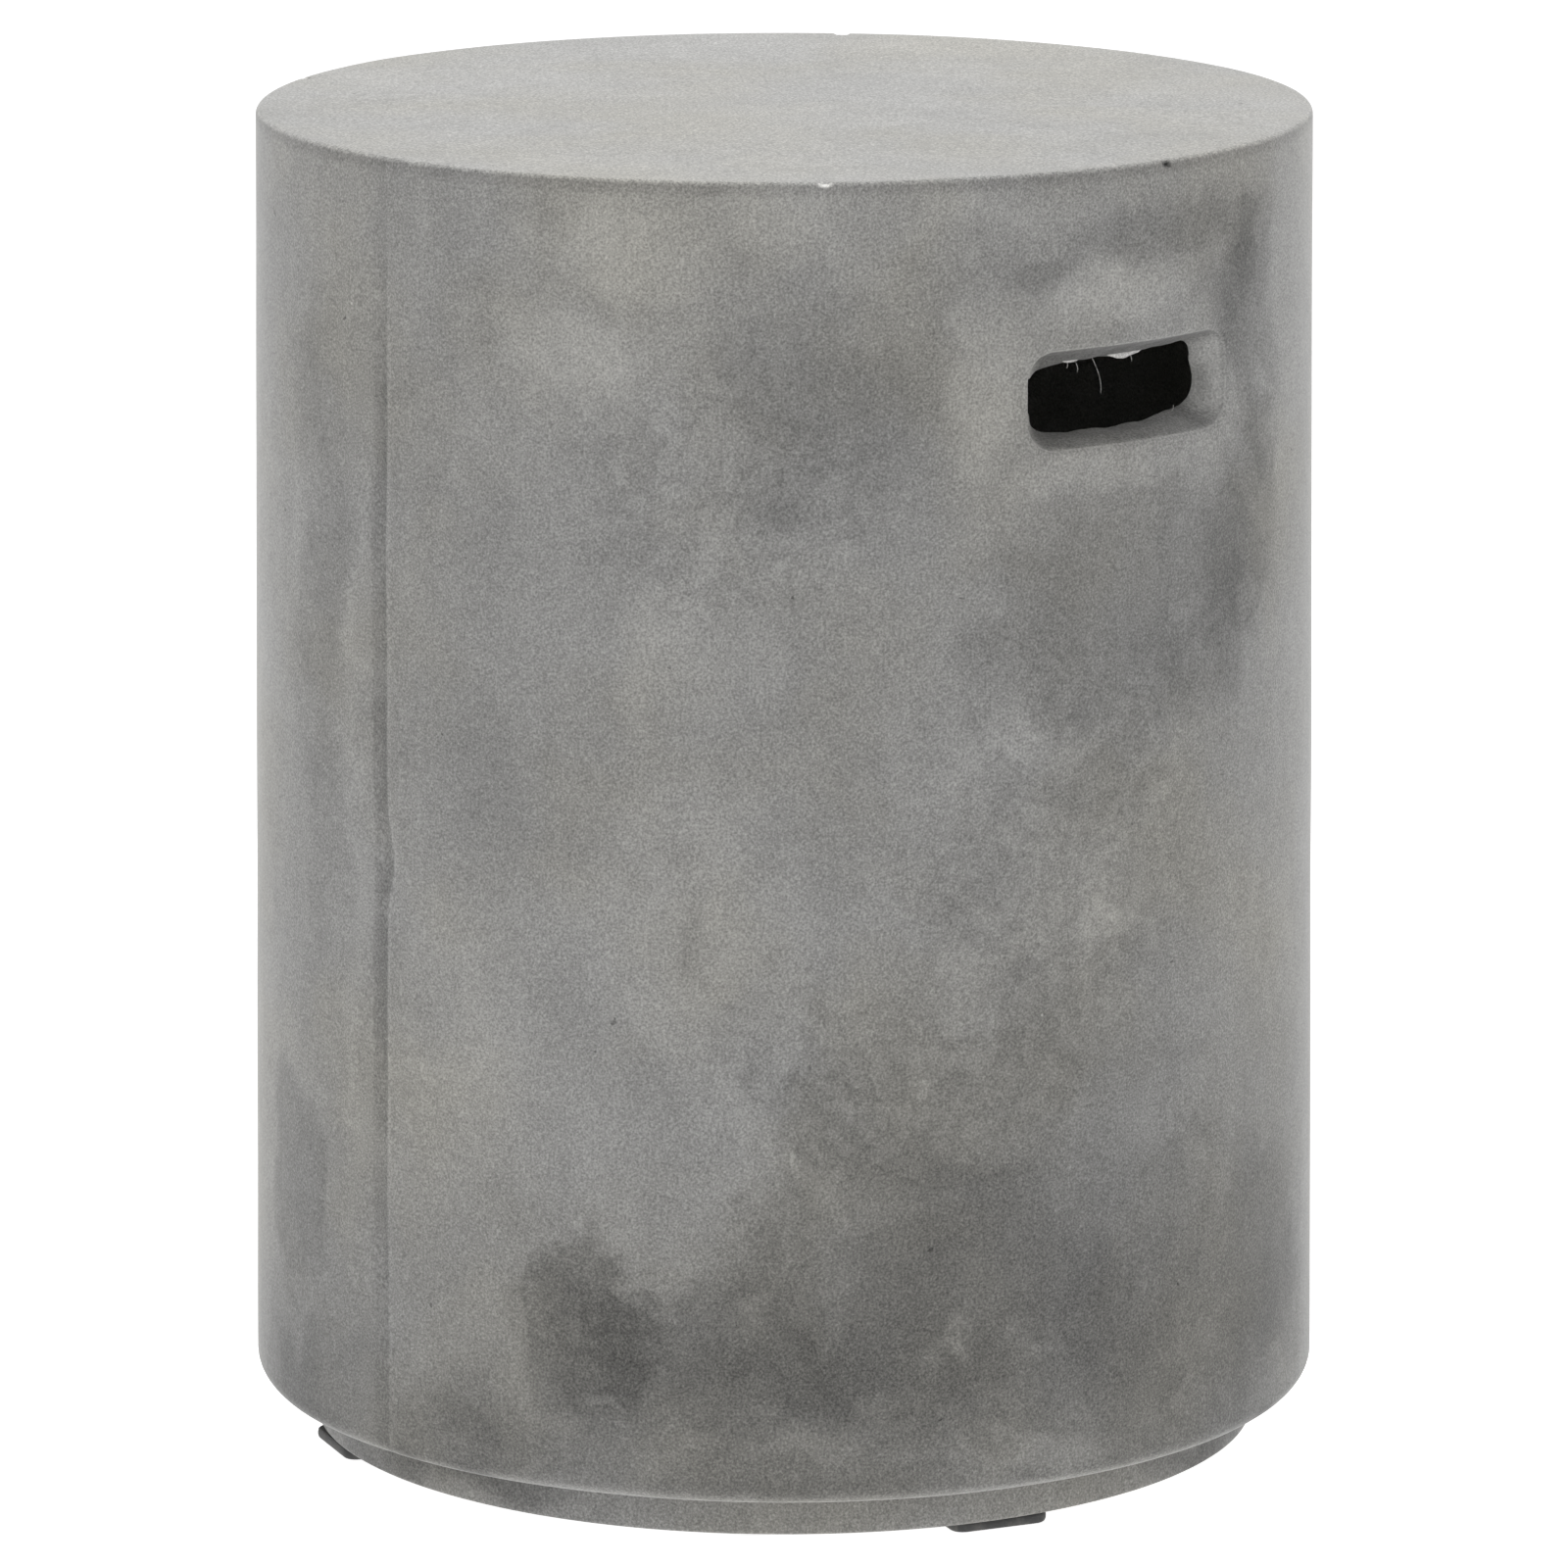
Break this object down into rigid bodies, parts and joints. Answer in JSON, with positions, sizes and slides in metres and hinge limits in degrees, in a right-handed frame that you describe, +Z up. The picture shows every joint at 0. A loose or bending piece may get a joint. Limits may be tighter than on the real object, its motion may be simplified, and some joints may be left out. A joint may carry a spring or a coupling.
{
  "type": "drum side table",
  "caption": "Hollow drum side table of glass-fibre concrete, with a hand slot on each side, a recessed plinth and rubber foot pads.",
  "frame": {"origin": "on the floor, in the middle of the drum", "axes": "+Z up along the drum's axis, +X out through the middle of one hand slot"},
  "size_m": [0.4018, 0.4018, 0.505],
  "materials": {
    "shell_concrete": "matte",
    "ring_concrete": "matte",
    "sealant": "matte",
    "brass": "satin",
    "steel": "satin",
    "pad_rubber": "matte",
    "nylon": "matte"
  },
  "bodies": {
    "root": {"drum_shell": "shell_concrete", "base_ring": "ring_concrete", "joint_bead": "sealant", "base_insert_1": "brass", "base_washer_1": "steel", "base_bolt_1": "steel", "foot_pad_1": "pad_rubber", "pad_screws_1": "steel", "pad_plugs_1": "nylon", "base_insert_2": "brass", "base_washer_2": "steel", "base_bolt_2": "steel", "foot_pad_2": "pad_rubber", "pad_screws_2": "steel", "pad_plugs_2": "nylon", "base_insert_3": "brass", "base_washer_3": "steel", "base_bolt_3": "steel", "foot_pad_3": "pad_rubber", "pad_screws_3": "steel", "pad_plugs_3": "nylon", "base_insert_4": "brass", "base_washer_4": "steel", "base_bolt_4": "steel", "foot_pad_4": "pad_rubber", "pad_screws_4": "steel", "pad_plugs_4": "nylon"}
  },
  "joints": []
}
